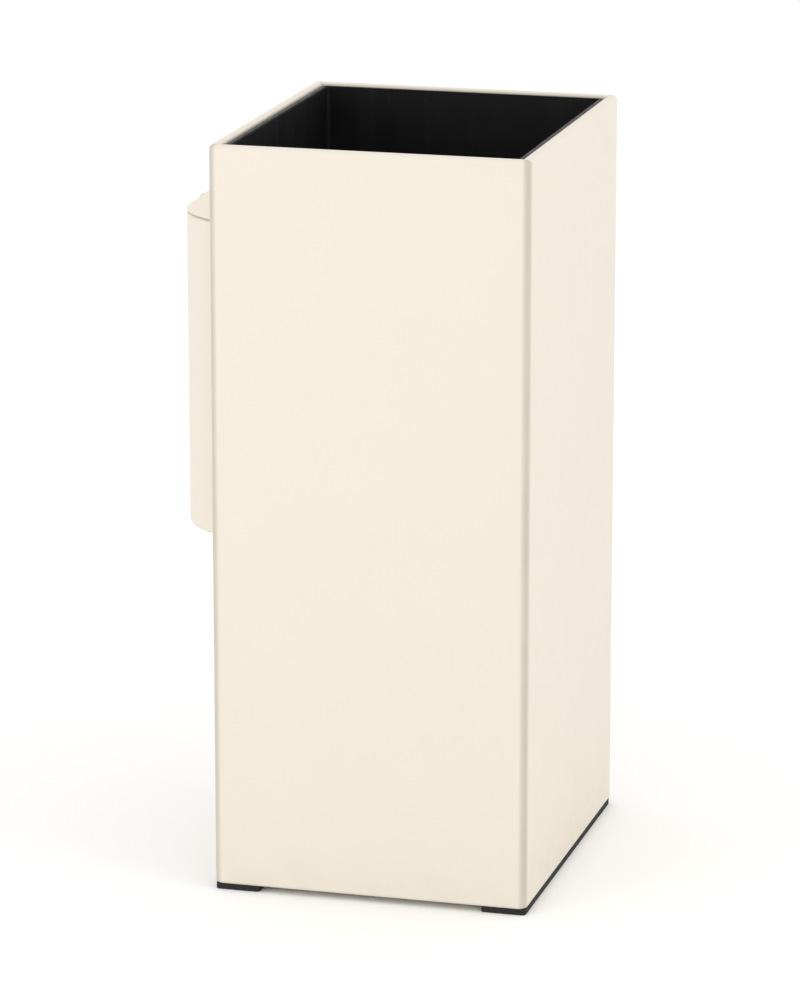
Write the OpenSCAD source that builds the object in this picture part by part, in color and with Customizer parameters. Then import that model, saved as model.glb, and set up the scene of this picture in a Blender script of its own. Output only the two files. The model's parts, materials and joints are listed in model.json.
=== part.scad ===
// Square-column litter bin with a lift-out liner and a half-round wall ashtray.
// Millimetres, +Z up. The front faces -Y and the ashtray hangs on the -X wall.
// The origin is on the floor, at the centre of the whole footprint.

/* [Body] */
// Width of the sheet-steel body, left to right
body_w = 255; // [220:1:400]
// Depth of the body, front to back
body_d = 300; // [220:1:450]
// Height from the floor to the top of the rim
body_h = 600; // [590:1:900]
// Thickness of the body sheet
sheet = 1.5; // [1:0.1:2]
// Outer radius of the four upright corners
corner_r = 7; // [5:0.5:9]

/* [Rim] */
// Width of the inward fold, from the outer face
rim_w = 8; // [7:0.5:14]
// Outer bend radius of the fold
rim_r = 4; // [2.5:0.5:5]
// Height of the lip that returns downwards inside the fold
rim_drop = 12; // [8:0.5:20]

/* [Base] */
// Width of each floor runner
runner_w = 36; // [30:1:50]
// Height of each floor runner
runner_h = 5; // [4.5:0.5:12]
// Set-back of a runner from the side of the body
runner_inset = 1; // [0.5:0.5:6]
// Thickness of the base plate
plate_t = 2; // [1.5:0.5:4]
// Screws along each runner
screws_per_runner = 3; // [2:1:5]

/* [Liner] */
// Running gap between the liner's hem and the rim
liner_gap = 1.2; // [0.8:0.1:3]
// Thickness of the liner sheet
liner_t = 1; // [0.8:0.1:1.5]
// How far the hem stands out from the liner wall
hem_out = 3; // [2:0.5:5]
// Depth of the liner's hem below the body rim
liner_low = 2; // [1.5:0.5:30]
// Height of the liner floor above the base plate
floor_lift = 12; // [10:0.5:30]

/* [Liner handles] */
// Distance from the body rim down to the handle pivots
pivot_low = 68; // [62:1:120]
// Distance of the pivot from the liner wall
pivot_out = 8; // [6.5:0.5:14]
// Diameter of the handle wire
wire_d = 5; // [4:0.5:6]
// Drop of the handle below its pivot
handle_drop = 44; // [36:1:52]
// Half of the distance between the two arms
arm_y = 38; // [30:1:60]

/* [Ashtray] */
// Outer radius of the half-round pot
ash_r = 61; // [60:1:80]
// Thickness of the ashtray sheet
ash_t = 1.2; // [1:0.1:1.5]
// Height of the pot's underside above the floor
ash_bottom = 265; // [200:1:290]
// Height of the seam between the pot and the lid
ash_seam = 520.5; // [490:0.5:520.5]
// Gap between the pot and the lid at the seam
seam_gap = 1.6; // [1.2:0.1:3]
// Upright edge of the lid at its lowest point
lid_lip = 0.5; // [0.5:0.5:6]
// Slope of the lid, in degrees
lid_angle = 35; // [34:1:47]

/* [Hanging and hinge] */
// Space between the bin wall and the ashtray's back plate
hang_gap = 6.5; // [6.5:0.1:9]
// Thickness of the hook strips and the back plate
hook_t = 1.5; // [1.2:0.1:1.6]
// Distance from the seam down to the hooks' resting edge
hook_low = 20; // [19:1:60]
// Radius of the lid's hinge pin
pin_r = 1.5; // [1.2:0.1:1.8]
// Radial play of the pin in the lid's knuckles
pin_play = 0.05; // [0.02:0.01:0.1]
// Width of the hinge
hinge_w = 60; // [50:1:70]

/* [Hidden] */
$fn = 48;

cream = [0.96, 0.925, 0.86];
black = [0.06, 0.06, 0.065];
rubber_black = [0.09, 0.09, 0.09];
zinc = [0.72, 0.73, 0.75];
steel = [0.78, 0.79, 0.8];
seal_grey = [0.42, 0.39, 0.36];

eps = 0.01;
weld_gap = 0.05;
seat_gap = 0.3;

// Body stack, from the floor up
shell_floor = runner_h + sheet;
plate_top = shell_floor + plate_t;
base_lip = runner_w;
body_x = ash_r / 2;
rim_open_w = body_w - 2 * rim_w;
rim_open_d = body_d - 2 * rim_w;

// M5 fasteners
m5_r = 2.5;
m5_hole_r = 2.7;
m5_nut_af = 8;
m5_nut_h = 4;
m5_washer_r = 5;
m5_washer_t = 1;
thread_play = 0.05;
tip_out = 1.5;
csk_r = 5;
csk_h = 2.5;
csk_deep = 1;
csk_play = 0.15;
runner_end = 2;
screw_end = 30;
runner_x = body_w / 2 - runner_inset - runner_w / 2;
nut_clear = 0.8;

// Liner
hem_w = rim_open_w - 2 * liner_gap;
hem_d = rim_open_d - 2 * liner_gap;
hem_h = 9;
hem_r = 3;
liner_w = hem_w - 2 * hem_out;
liner_d = hem_d - 2 * hem_out;
liner_r = 5;
liner_top = body_h - liner_low;
liner_floor_z = plate_top + floor_lift;
screw_x = liner_w / 2 - liner_t - m5_washer_r - nut_clear;
floor_skirt = 8;
tab_w = 40;
tab_h = 18;
tab_gap = 0.8;

// Handles
wire_r = wire_d / 2;
pivot_play = 0.06;
pivot_z = body_h - pivot_low;
bend_r = 7;
pivot_y = arm_y + bend_r + 2.5;
ear_t = 2;
ear_base_t = 1.5;
ear_base_y = 15;
ear_h = 26;
rivet_r = 1.6;
rivet_head_r = 3;
rivet_head_t = 1;
ear_rivet_dz = 8;

// Ashtray, measured from the outer face of the left wall
wall_gap = 0.5;
back_rear = -hang_gap;
back_front = back_rear - hook_t;
pot_flange = 6;
pot_flange_r = ash_r - pot_flange;
back_w = 2 * sqrt(pow(ash_r - ash_t, 2) - pow(back_front, 2)) - 2 * weld_gap;
back_lid_w = back_w - 6;
floor_t = 1.5;
seal_t = seam_gap - seat_gap;
seal_in_r = ash_r - 4.5;
seal_out_r = ash_r - 0.4;
lid_low = ash_seam + seam_gap;
slope_z0 = lid_low + lid_lip;
back_top = slope_z(back_front) - ash_t / cos(lid_angle) - 2.5;

// Hooks: the bracket's lip stands up, the hanger's lip hangs behind it
hook_play = 0.2;
hook_z = ash_seam - hook_low;
hanger_rear = back_rear + hook_t;
bracket_front = hanger_rear + hook_play;
bracket_lip_rear = bracket_front + hook_t;
hanger_lip_front = bracket_lip_rear + hook_play;
hook_h = 14;
hanger_w = 68;
bracket_w = 76;
bracket_drop = 24;
bracket_bolt_y = 22;
bracket_bolt_z = hook_z - hook_h - bracket_drop / 2;
bolt_head_r = 4.5;
bolt_head_t = 2.6;
hanger_rivet_y = 24;
hanger_rivet_z = hook_z + 10;
bumper_r = 6;
bumper_y = 50;
bumper_z = ash_bottom + 28;

// Hinge of the lid
barrel_r = pin_r + 1.3;
hinge_x = back_rear + barrel_r - 0.5;
hinge_rise = 3.1;
hinge_z = slope_z(hinge_x) + hinge_rise;
knuckles = 5;
knuckle_gap = 0.4;
knuckle_w = (hinge_w - (knuckles - 1) * knuckle_gap) / knuckles;
strap_y = knuckle_w / 2 - 0.2;
leaf_t = 1.2;
leaf_weld = 5;
hinge_clear = 0.5;
leaf_low = 1;
notch_w = hinge_w + 6;
notch_x = back_front - 1.5;
leaf_rivet_y = 20;
leaf_rivet_z = back_top - 11;
pin_head_r = 2.2;
pin_head_t = 0.8;

// Stub-out plate, placed down the slope from the hinge leaf; its rivets clear the leaf
stub_rivet_s = 15;
stub_gap = 0.5;
stub_mid = slope_s(notch_x) - leaf_weld - rivet_head_r - stub_gap - stub_rivet_s;
stub_w = 72;
stub_l = 38;
stub_t = 1;
window_w = 56;
window_l = 26;
stub_rivet_y = 31;
drop_r = 6;
drop_pitch = 18;
drop_down = 6;
drop_s = stub_mid - drop_down;
perf_r = 1.25;
perf_pitch = 6;
perf_rows = [2.5, 7, 11.5];
perf_side = 4;

// Ash bucket
bucket_r = pot_flange_r - 1.5;
bucket_t = 0.8;
bucket_back = back_front - 2;
bucket_z = ash_bottom + floor_t + seat_gap;
bucket_top = ash_seam - 12;
bucket_hem = 1;
bucket_hem_h = 5;
strap_w = 10;
strap_t = 1.5;
strap_low = 10;

// Height of the lid's outer slope at a distance x from the wall
function slope_z(x) = slope_z0 + (x + ash_r) * tan(lid_angle);
// Distance up the slope of a point x from the wall
function slope_s(x) = (x + ash_r) / cos(lid_angle);
// Middle of knuckle i, counted from the front
function knuckle_y(i) = (i - (knuckles - 1) / 2) * (knuckle_w + knuckle_gap);

// ---------- shared shapes ----------

// Everything on the column is placed from its centre line
module on_body() translate([body_x, 0, 0]) children();

// Everything on the ashtray is placed from the outer face of the left wall
module on_wall() translate([body_x - body_w / 2, 0, 0]) children();

// Frame of the lid's slope: x runs up the slope, z points out of it
module on_slope() translate([-ash_r, 0, slope_z0]) rotate([0, -lid_angle, 0]) children();

module rounded_rect(w, d, r) {
    square([w - 2 * r, d], center = true);
    square([w, d - 2 * r], center = true);
    for (x = [-1, 1], y = [-1, 1])
        translate([x * (w / 2 - r), y * (d / 2 - r)]) circle(r);
}

// Upright outline whose two top corners are rounded
module topped_outline(w, z0, z1, r) {
    translate([-w / 2, z0]) square([w, z1 - z0 - r]);
    translate([-w / 2 + r, z0]) square([w - 2 * r, z1 - z0]);
    for (x = [-1, 1]) translate([x * (w / 2 - r), z1 - r]) circle(r);
}

// Block with rounded upright corners and rounded top edges
module topped_block(w, d, z0, z1, side_r, top_r) {
    intersection() {
        translate([0, 0, z0]) linear_extrude(z1 - z0) rounded_rect(w, d, side_r);
        translate([0, d, 0]) rotate([90, 0, 0]) linear_extrude(2 * d) topped_outline(w, z0, z1, top_r);
        translate([-w, 0, 0]) rotate([90, 0, 90]) linear_extrude(2 * w) topped_outline(d, z0, z1, top_r);
    }
}

module block(w, d, z0, z1, r) {
    translate([0, 0, z0]) linear_extrude(z1 - z0) rounded_rect(w, d, r);
}

// Box given by its two corners
module span(a, b) translate(a) cube(b - a);

// Half-round prism on the wall, cut off at a distance from it
module half_round(r, z0, z1, back) {
    translate([0, 0, z0]) linear_extrude(z1 - z0) intersection() {
        circle(r, $fn = 96);
        translate([-r - 1, -r - 1]) square([r + 1 + back, 2 * r + 2]);
    }
}

module along_x(x0, x1, r) translate([x0, 0, 0]) rotate([0, 90, 0]) cylinder(h = x1 - x0, r = r);

module along_y(y0, y1, r) translate([0, y1, 0]) rotate([90, 0, 0]) cylinder(h = y1 - y0, r = r);

// Domed rivet along +Z: low head, shank through a stack, upper head
module rivet(stack) {
    translate([0, 0, -rivet_head_t]) cylinder(h = rivet_head_t, r = rivet_head_r);
    translate([0, 0, -eps]) cylinder(h = stack + 2 * eps, r = rivet_r);
    translate([0, 0, stack]) cylinder(h = rivet_head_t, r = rivet_head_r);
}

module at_runner_screws() {
    for (s = [-1, 1], i = [0:screws_per_runner - 1])
        translate([s * screw_x, (i / (screws_per_runner - 1) - 0.5) * (body_d - 2 * screw_end), 0]) children();
}

module at_bracket_bolts() {
    for (s = [-1, 1]) translate([0, s * bracket_bolt_y, bracket_bolt_z]) children();
}

module nut(af, h, bore) {
    difference() {
        cylinder(h = h, r = af / sqrt(3), $fn = 6);
        translate([0, 0, -1]) cylinder(h = h + 2, r = bore);
    }
}

module washer(r, t, bore) {
    difference() {
        cylinder(h = t, r = r);
        translate([0, 0, -1]) cylinder(h = t + 2, r = bore);
    }
}

// ---------- column and base ----------

// Folded and welded sheet: four walls, inward rim with a returned lip, bottom flange
module outer_shell() color(cream) on_body() difference() {
    union() {
        difference() {
            topped_block(body_w, body_d, runner_h, body_h, corner_r, rim_r);
            topped_block(body_w - 2 * sheet, body_d - 2 * sheet, shell_floor, body_h - sheet,
                corner_r - sheet, rim_r - sheet);
            block(rim_open_w, rim_open_d, body_h - 2 * sheet, body_h + 1, 2);
            block(body_w - 2 * base_lip, body_d - 2 * base_lip, 0, plate_top, 4);
        }
        difference() {
            block(rim_open_w + 2 * sheet, rim_open_d + 2 * sheet, body_h - rim_drop, body_h - sheet / 2, 3);
            block(rim_open_w, rim_open_d, body_h - rim_drop - 1, body_h + 1, 2);
        }
    }
    at_runner_screws() cylinder(h = plate_top, r = m5_hole_r);
    translate([-body_w / 2, 0, 0]) at_bracket_bolts() along_x(-1, sheet + 1, m5_hole_r);
}

// Flat plate on the bottom flange, with four upright tabs that centre the liner
module base_plate() color(black) on_body() difference() {
    union() {
        block(body_w - 2 * sheet - 2 * seat_gap, body_d - 2 * sheet - 2 * seat_gap, shell_floor, plate_top,
            corner_r - sheet);
        for (s = [0, 180]) rotate(s) {
            span([liner_w / 2 + tab_gap, -tab_w / 2, shell_floor],
                [liner_w / 2 + tab_gap + plate_t, tab_w / 2, plate_top + tab_h]);
            span([-tab_w / 2, liner_d / 2 + tab_gap, shell_floor],
                [tab_w / 2, liner_d / 2 + tab_gap + plate_t, plate_top + tab_h]);
        }
    }
    at_runner_screws() cylinder(h = plate_top + 1, r = m5_hole_r);
}

// Black runner under one side, drilled and countersunk from below
module runner(side) color(rubber_black) on_body() difference() {
    translate([side * runner_x, 0, 0]) block(runner_w, body_d - 2 * runner_end, 0, runner_h, 3);
    at_runner_screws() {
        translate([0, 0, -1]) cylinder(h = runner_h + 2, r = m5_hole_r);
        translate([0, 0, -1]) cylinder(h = csk_deep + 1, r = csk_r + csk_play);
        translate([0, 0, csk_deep]) cylinder(h = csk_h, r1 = csk_r + csk_play, r2 = m5_r + csk_play);
    }
}

module runner_left() runner(-1);

module runner_right() runner(1);

module runner_screws() color(zinc) on_body() at_runner_screws() {
    translate([0, 0, csk_deep]) cylinder(h = csk_h, r1 = csk_r, r2 = m5_r);
    translate([0, 0, csk_deep + csk_h - eps])
        cylinder(h = plate_top + m5_washer_t + m5_nut_h + tip_out - csk_deep - csk_h + eps, r = m5_r);
}

module runner_washers() color(zinc) on_body() at_runner_screws()
    translate([0, 0, plate_top]) washer(m5_washer_r, m5_washer_t, m5_hole_r);

module runner_nuts() color(zinc) on_body() at_runner_screws()
    translate([0, 0, plate_top + m5_washer_t]) nut(m5_nut_af, m5_nut_h, m5_r + thread_play);

// ---------- wall bracket ----------

// Bent strip bolted to the left wall; its lip stands up and clear of the wall
module ash_bracket() color(cream) on_wall() difference() {
    union() {
        span([-hook_t, -bracket_w / 2, hook_z - hook_h - bracket_drop],
            [0, bracket_w / 2, hook_z - hook_h + hook_t]);
        span([bracket_front, -bracket_w / 2, hook_z - hook_h], [0, bracket_w / 2, hook_z - hook_h + hook_t]);
        span([bracket_front, -bracket_w / 2, hook_z - hook_h], [bracket_lip_rear, bracket_w / 2, hook_z]);
    }
    at_bracket_bolts() along_x(-hook_t - 1, 1, m5_hole_r);
}

module bracket_bolts() color(zinc) on_wall() at_bracket_bolts() {
    along_x(-hook_t - bolt_head_t, -hook_t, bolt_head_r);
    along_x(-hook_t - eps, sheet + m5_washer_t + m5_nut_h + tip_out, m5_r);
}

module bracket_washers() color(zinc) on_wall() at_bracket_bolts()
    translate([sheet, 0, 0]) rotate([0, 90, 0]) washer(m5_washer_r, m5_washer_t, m5_hole_r);

module bracket_nuts() color(zinc) on_wall() at_bracket_bolts()
    translate([sheet + m5_washer_t, 0, 0]) rotate([0, 90, 0]) nut(m5_nut_af, m5_nut_h, m5_r + thread_play);

// ---------- liner ----------

// Four walls of the lift-out liner, standing on the base plate
module liner_wall() color(black) on_body() difference() {
    block(liner_w, liner_d, plate_top, liner_top - liner_t, liner_r);
    block(liner_w - 2 * liner_t, liner_d - 2 * liner_t, 0, body_h, liner_r - liner_t);
    at_ear_rivets() cylinder(h = 20, r = rivet_r + weld_gap, center = true);
}

// Folded floor tray, welded inside the walls with its skirt down
module liner_floor() color(black) on_body() difference() {
    block(liner_w - 2 * liner_t - 2 * weld_gap, liner_d - 2 * liner_t - 2 * weld_gap,
        liner_floor_z - floor_skirt, liner_floor_z, liner_r - liner_t);
    block(liner_w - 4 * liner_t - 2 * weld_gap, liner_d - 4 * liner_t - 2 * weld_gap,
        0, liner_floor_z - liner_t, liner_r - 2 * liner_t);
}

// Hem folded over the top edge: a flat top and a skirt outside the walls
module liner_hem() color(black) on_body() difference() {
    topped_block(hem_w, hem_d, liner_top - hem_h, liner_top, liner_r, hem_r / 2);
    block(liner_w + 2 * weld_gap, liner_d + 2 * weld_gap, 0, liner_top - liner_t, liner_r);
    block(liner_w - 2 * liner_t, liner_d - 2 * liner_t, 0, body_h, liner_r - liner_t);
}

// Frame of a handle: x points from the liner wall into the liner, z up from the pivot
module at_handle(side) translate([side * (liner_w / 2 - liner_t), 0, pivot_z])
    rotate(side > 0 ? 180 : 0) children();

module at_ear_rivets() {
    for (side = [-1, 1]) at_handle(side)
        for (y = [-1, 1], z = [-1, 1])
            translate([0, y * (pivot_y + ear_base_y / 2), z * ear_rivet_dz]) rotate([0, 90, 0]) children();
}

// Angle that holds one end of a handle
module ear() difference() {
    union() {
        span([0, -ear_t / 2, -ear_h / 2], [ear_base_t, ear_base_y, ear_h / 2]);
        span([0, -ear_t / 2, -wire_r - 3], [pivot_out, ear_t / 2, wire_r + 3]);
        translate([pivot_out, 0, 0]) along_y(-ear_t / 2, ear_t / 2, wire_r + 3);
    }
    translate([pivot_out, 0, 0]) along_y(-ear_t, ear_t, wire_r + pivot_play);
    for (z = [-1, 1]) translate([0, ear_base_y / 2, z * ear_rivet_dz]) along_x(-1, 5, rivet_r + weld_gap);
}

module handle_ears() color(zinc) on_body()
    for (side = [-1, 1]) at_handle(side) {
        translate([0, pivot_y, 0]) ear();
        mirror([0, 1, 0]) translate([0, pivot_y, 0]) ear();
    }

module ear_rivets() color(zinc) on_body() at_ear_rivets()
    translate([0, 0, -liner_t]) rivet(liner_t + ear_base_t);

// Quarter bend of the wire, in the y-z plane, from +y round to +z
module wire_bend() rotate([90, 0, 90]) rotate_extrude(angle = 90) translate([bend_r, 0]) circle(wire_r);

// Wire handle: bottom bar, two bends, two arms, two bends out to the pivots
module bail(side) color(zinc) on_body() at_handle(side) translate([pivot_out, 0, 0]) {
    translate([0, 0, -handle_drop]) along_y(-arm_y + bend_r, arm_y - bend_r, wire_r);
    for (s = [0, 1]) mirror([0, s, 0]) {
        translate([0, arm_y - bend_r, bend_r - handle_drop]) rotate([-90, 0, 0]) wire_bend();
        translate([0, arm_y, bend_r - handle_drop]) cylinder(h = handle_drop - 2 * bend_r, r = wire_r);
        translate([0, arm_y + bend_r, -bend_r]) rotate([90, 0, 0]) wire_bend();
        along_y(arm_y + bend_r, pivot_y + ear_t / 2 + 3, wire_r);
    }
}

module handle_left() bail(-1);

module handle_right() bail(1);

// ---------- ashtray pot ----------

module pot_shell() color(cream) on_wall() {
    difference() {
        half_round(ash_r, ash_bottom, ash_seam, -wall_gap);
        half_round(ash_r - ash_t, ash_bottom - 1, ash_seam + 1, 1);
    }
    difference() {
        half_round(ash_r - ash_t / 2, ash_seam - ash_t, ash_seam, back_front - seat_gap);
        half_round(pot_flange_r, 0, ash_seam + 1, 1);
    }
}

module pot_floor() color(cream) on_wall()
    half_round(ash_r - ash_t - weld_gap, ash_bottom, ash_bottom + floor_t, back_front);

// Back plate: full width behind the pot, narrower behind the lid
module back_plate() color(cream) on_wall() difference() {
    union() {
        span([back_front, -back_w / 2, ash_bottom], [back_rear, back_w / 2, ash_seam - ash_t - 2]);
        span([back_front, -back_lid_w / 2, ash_seam - ash_t - 3], [back_rear, back_lid_w / 2, back_top]);
    }
    at_back_rivets() cylinder(h = 20, r = rivet_r + weld_gap, center = true);
}

module at_back_rivets() {
    for (s = [-1, 1]) {
        translate([back_front, s * hanger_rivet_y, hanger_rivet_z]) rotate([0, 90, 0]) children();
        translate([back_front, s * leaf_rivet_y, leaf_rivet_z]) rotate([0, 90, 0]) children();
    }
}

// Bent strip on the back plate; its lip hangs down behind the bracket's lip
module pot_hanger() color(cream) on_wall() difference() {
    union() {
        span([back_rear, -hanger_w / 2, hook_z - hook_h], [hanger_rear, hanger_w / 2, hanger_rivet_z + 8]);
        span([back_rear, -hanger_w / 2, hook_z], [hanger_lip_front + hook_t, hanger_w / 2, hook_z + hook_t]);
        span([hanger_lip_front, -hanger_w / 2, hook_z - hook_h + hook_t + 1],
            [hanger_lip_front + hook_t, hanger_w / 2, hook_z + hook_t]);
    }
    at_back_rivets() cylinder(h = 20, r = rivet_r + weld_gap, center = true);
}

// Rivets of the hanger and of the fixed hinge leaf
module back_plate_rivets() color(steel) on_wall() {
    for (s = [-1, 1]) {
        translate([back_front, s * hanger_rivet_y, hanger_rivet_z]) rotate([0, 90, 0]) rivet(2 * hook_t);
        translate([back_front, s * leaf_rivet_y, leaf_rivet_z]) rotate([0, 90, 0]) rivet(hook_t + leaf_t);
    }
}

module wall_bumpers() color(rubber_black) on_wall()
    for (s = [-1, 1]) translate([0, s * bumper_y, bumper_z]) along_x(back_rear, -seat_gap, bumper_r);

// Rubber strip on the pot's flange, under the lid's edge
module lid_seal() color(seal_grey) on_wall() difference() {
    half_round(seal_out_r, ash_seam, ash_seam + seal_t, back_front - seat_gap);
    half_round(seal_in_r, 0, ash_seam + seal_t + 1, 1);
}

// ---------- hinge ----------

// Barrel of knuckle i, round the hinge axis
module knuckle(i) {
    translate([hinge_x, knuckle_y(i), hinge_z]) along_y(-knuckle_w / 2, knuckle_w / 2, barrel_r);
}

module hinge_bore() translate([hinge_x, 0, hinge_z]) along_y(-hinge_w, hinge_w, pin_r + pin_play);

// Leaf on the rear of the back plate, with the even knuckles
module hinge_leaf_fixed() color(steel) on_wall() difference() {
    union() {
        span([back_rear, -hinge_w / 2, leaf_rivet_z - 8],
            [back_rear + leaf_t, hinge_w / 2, slope_z(back_rear) - leaf_low]);
        for (i = [1:2:knuckles - 1]) {
            knuckle(i);
            span([back_rear, knuckle_y(i) - strap_y, leaf_rivet_z],
                [back_rear + leaf_t, knuckle_y(i) + strap_y, hinge_z]);
        }
    }
    hinge_bore();
    at_back_rivets() cylinder(h = 20, r = rivet_r + weld_gap, center = true);
}

// Leaf welded on the lid's slope, with the odd knuckles
module hinge_leaf_lid() color(steel) on_wall() difference() {
    union() {
        on_slope() span([slope_s(notch_x) - leaf_weld, -hinge_w / 2, 0],
            [slope_s(back_rear - hinge_clear), hinge_w / 2, leaf_t]);
        for (i = [0:2:knuckles - 1]) {
            knuckle(i);
            on_slope() span([slope_s(notch_x) - 1, knuckle_y(i) - strap_y, 0],
                [slope_s(hinge_x) + hinge_rise * sin(lid_angle), knuckle_y(i) + strap_y, leaf_t]);
        }
    }
    hinge_bore();
}

module hinge_pin() color(steel) on_wall() translate([hinge_x, 0, hinge_z]) {
    along_y(-hinge_w / 2 - 0.4, hinge_w / 2 + 0.4, pin_r);
    for (s = [-1, 1]) translate([0, s * (hinge_w / 2 + 0.4 + pin_head_t / 2), 0])
        along_y(-pin_head_t / 2 - eps, pin_head_t / 2 + eps, pin_head_r);
}

// ---------- ash bucket ----------

module ash_bucket() color(zinc) on_wall() difference() {
    union() {
        half_round(bucket_r, bucket_z, bucket_top, bucket_back);
        half_round(bucket_r + bucket_hem, bucket_top - bucket_hem_h, bucket_top, bucket_back);
    }
    half_round(bucket_r - bucket_t, bucket_z + bucket_t, bucket_top + 1, bucket_back - bucket_t);
}

// Flat strap across the bucket's mouth, to lift it by
module bucket_strap() color(zinc) on_wall() intersection() {
    half_round(bucket_r - bucket_t - weld_gap, bucket_z, bucket_top, bucket_back - bucket_t - weld_gap);
    span([bucket_back - bucket_t - weld_gap - strap_w, -ash_r, bucket_top - strap_low],
        [bucket_back, ash_r, bucket_top - strap_low + strap_t]);
}

// ---------- lid ----------

// Everything below the lid's slope, lowered by a distance measured upright
module below_slope(lower) rotate([90, 0, 0]) linear_extrude(4 * ash_r, center = true)
    polygon([
        [-ash_r - 5, 0], [5, 0],
        [5, slope_z(5) - lower], [-ash_r - 5, slope_z(-ash_r - 5) - lower]
    ]);

module at_stub_rivets() on_slope()
    for (s = [-1, 1], y = [-1, 1])
        translate([stub_mid + s * stub_rivet_s, y * stub_rivet_y, -ash_t - stub_t]) children();

// Half-round wedge with a sloping top, open below and at the back
module ash_lid() color(cream) on_wall() difference() {
    intersection() {
        half_round(ash_r, lid_low, body_h + ash_r, -wall_gap);
        below_slope(0);
    }
    intersection() {
        half_round(ash_r - ash_t, 0, body_h + ash_r, 1);
        below_slope(ash_t / cos(lid_angle));
    }
    span([notch_x, -notch_w / 2, slope_z0], [5, notch_w / 2, body_h + ash_r]);
    on_slope() span([stub_mid - window_l / 2, -window_w / 2, -5], [stub_mid + window_l / 2, window_w / 2, 5]);
    at_stub_rivets() cylinder(h = 20, r = rivet_r + weld_gap, center = true);
}

// Stainless plate under the window: stub-out perforations above, drop holes below
module stub_plate() color(steel) on_wall() difference() {
    on_slope() span([stub_mid - stub_l / 2, -stub_w / 2, -ash_t - stub_t],
        [stub_mid + stub_l / 2, stub_w / 2, -ash_t]);
    on_slope() for (i = [-1, 0, 1])
        translate([drop_s, i * drop_pitch, 0]) cylinder(h = 20, r = drop_r, center = true);
    on_slope() for (s = perf_rows, i = [-perf_side:perf_side])
        translate([stub_mid + s, i * perf_pitch, 0]) cylinder(h = 20, r = perf_r, center = true, $fn = 24);
    at_stub_rivets() cylinder(h = 20, r = rivet_r + weld_gap, center = true);
}

module stub_plate_rivets() color(steel) on_wall() at_stub_rivets() rivet(ash_t + stub_t);

// ---------- output ----------

outer_shell();
base_plate();
runner_left();
runner_right();
runner_screws();
runner_washers();
runner_nuts();
ash_bracket();
bracket_bolts();
bracket_washers();
bracket_nuts();
liner_wall();
liner_floor();
liner_hem();
handle_ears();
ear_rivets();
handle_left();
handle_right();
pot_shell();
pot_floor();
back_plate();
pot_hanger();
hinge_leaf_fixed();
back_plate_rivets();
wall_bumpers();
lid_seal();
hinge_pin();
ash_bucket();
bucket_strap();
ash_lid();
hinge_leaf_lid();
stub_plate();
stub_plate_rivets();
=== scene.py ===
"""Ashtray bin: a folded steel column with a lift-out liner and a half-round ashtray on its wall.

Lengths are metres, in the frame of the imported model: the front faces -Y, the ashtray is on -X.
"""
import json
import math
from contextlib import contextmanager

import bmesh
import bpy
from mathutils import Matrix, Vector

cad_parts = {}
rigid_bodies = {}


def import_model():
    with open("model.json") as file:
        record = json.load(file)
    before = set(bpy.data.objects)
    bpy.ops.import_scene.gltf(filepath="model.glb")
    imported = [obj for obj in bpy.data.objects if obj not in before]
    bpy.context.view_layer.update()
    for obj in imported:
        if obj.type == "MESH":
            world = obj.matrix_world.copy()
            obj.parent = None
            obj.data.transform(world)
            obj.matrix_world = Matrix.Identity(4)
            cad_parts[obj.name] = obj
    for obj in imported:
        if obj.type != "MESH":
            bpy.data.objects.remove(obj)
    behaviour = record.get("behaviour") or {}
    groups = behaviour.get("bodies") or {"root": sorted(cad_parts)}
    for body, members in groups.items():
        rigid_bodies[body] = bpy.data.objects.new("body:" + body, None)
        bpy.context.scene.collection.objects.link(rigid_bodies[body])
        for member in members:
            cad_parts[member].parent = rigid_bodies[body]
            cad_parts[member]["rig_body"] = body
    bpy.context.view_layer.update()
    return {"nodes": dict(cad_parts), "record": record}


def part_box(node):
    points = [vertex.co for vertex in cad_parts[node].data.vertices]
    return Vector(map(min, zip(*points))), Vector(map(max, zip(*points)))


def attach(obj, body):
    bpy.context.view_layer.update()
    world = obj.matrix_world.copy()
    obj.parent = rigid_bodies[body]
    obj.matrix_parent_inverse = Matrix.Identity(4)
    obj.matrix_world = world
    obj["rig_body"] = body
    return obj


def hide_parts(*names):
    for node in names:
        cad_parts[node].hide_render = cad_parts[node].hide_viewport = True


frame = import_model()

MM = 0.001
SLOT_OF = {part["node"]: part["material_slot"] for part in frame["record"]["subparts"]}
BODY_OF = {name: node["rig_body"] for name, node in frame["nodes"].items()}

# ---------- places taken from the frame ----------

SHELL_LO, SHELL_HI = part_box("outer_shell")
LINER_LO, LINER_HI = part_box("liner_wall")
HEM_LO, HEM_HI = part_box("liner_hem")
PLATE_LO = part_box("base_plate")[0]
POT_LO, POT_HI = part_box("pot_shell")
BACK_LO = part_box("back_plate")[0]
LID_LO, LID_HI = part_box("ash_lid")
BRACKET_LO, BRACKET_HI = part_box("ash_bracket")
BUCKET_LO, BUCKET_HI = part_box("ash_bucket")

COLUMN_X = (SHELL_LO.x + SHELL_HI.x) / 2
WALL_X = SHELL_LO.x
POT_RADIUS = WALL_X - POT_LO.x

# ---------- sheet and fastener sizes ----------

BODY_SHEET = 1.5 * MM
CORNER_RADIUS = 7 * MM
MITRE_RADIUS = 0.8 * MM
RIM_BEND = 3.2 * MM
RIM_LIP = 12 * MM
BASE_FLANGE = 36 * MM
BASE_BEND = 2 * MM
LINER_GAP = 1.2 * MM
LINER_SHEET = 1 * MM
LINER_CORNER = 5 * MM
EAR_SHEET = 1.5 * MM
HEM_BEND = 1 * MM
ASH_SHEET = 1.2 * MM
STRIP = 1.5 * MM
CUT_EDGE = 0.3 * MM
BEND_STEPS = 8
HALF_ROUND_STEPS = 72

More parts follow.
